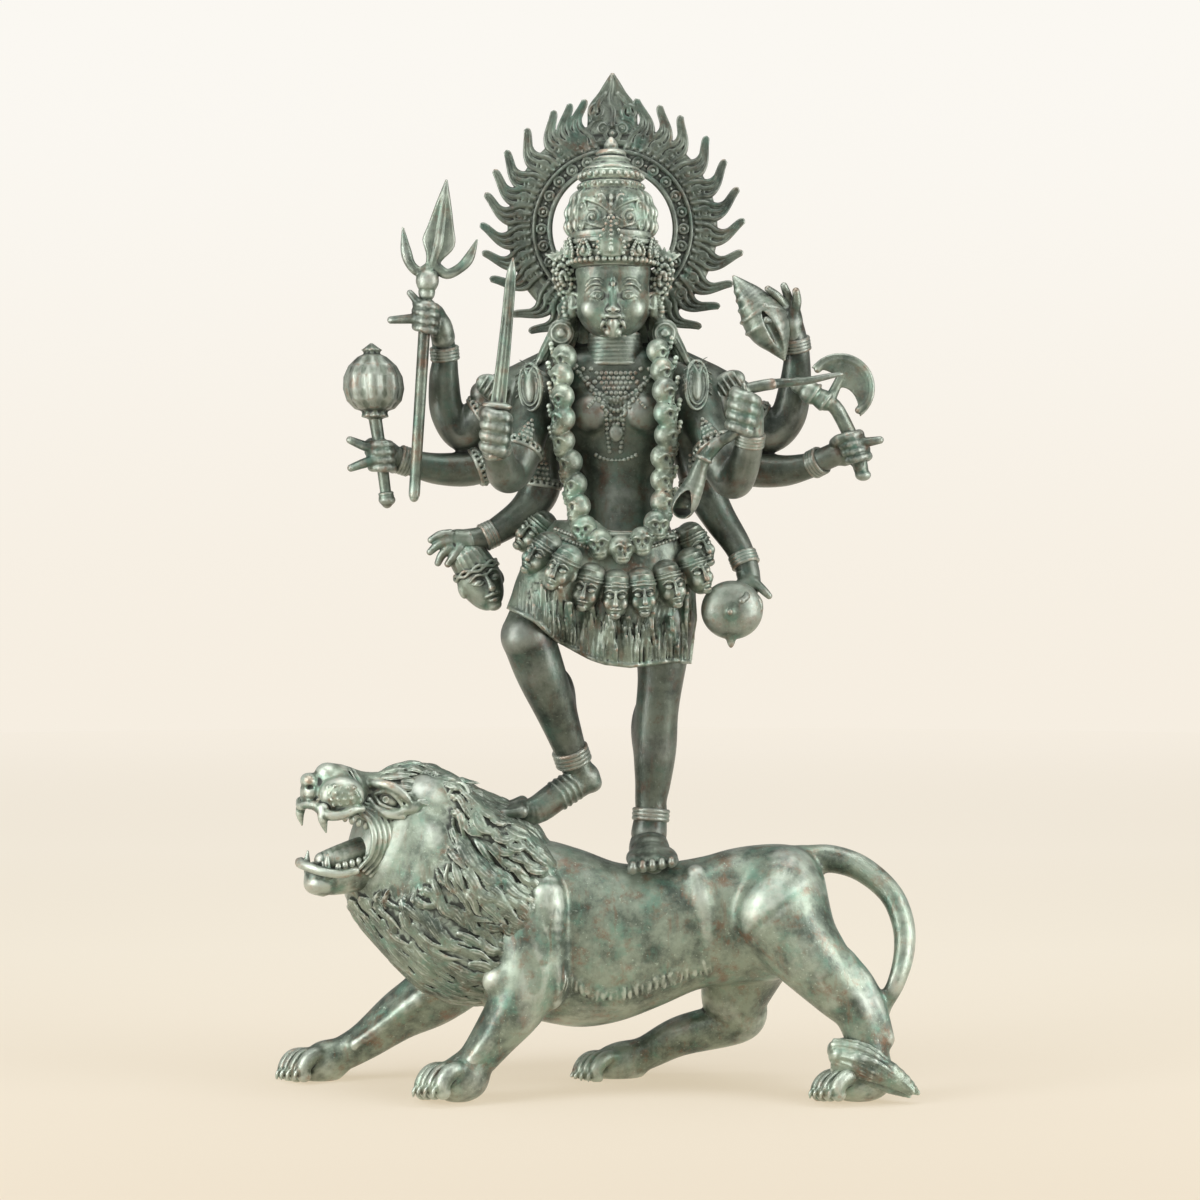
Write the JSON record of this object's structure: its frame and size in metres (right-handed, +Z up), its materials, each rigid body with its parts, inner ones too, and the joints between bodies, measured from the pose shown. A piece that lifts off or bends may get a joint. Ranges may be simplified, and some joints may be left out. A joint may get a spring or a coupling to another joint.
{
  "type": "durga figure",
  "caption": "Cast bronze multi-armed goddess with weapons, skull garland and flaming aureole, standing on a roaring lion; free-standing shelf or floor sculpture.",
  "frame": {"origin": "middle of the ground that the piece takes up, at floor level", "axes": "+Z up, -Y towards the viewer, the lion's head towards -X"},
  "size_m": [0.5624, 0.1744, 0.8996],
  "materials": {
    "patinated_bronze": "green-grey verdigris patina over cast bronze, waxed satin, copper-brown where worn"
  },
  "bodies": {
    "root": {"lion": "patinated_bronze", "goddess": "patinated_bronze", "halo": "patinated_bronze", "trident": "patinated_bronze", "sword": "patinated_bronze", "mace": "patinated_bronze", "axe": "patinated_bronze", "bow": "patinated_bronze"}
  },
  "joints": []
}
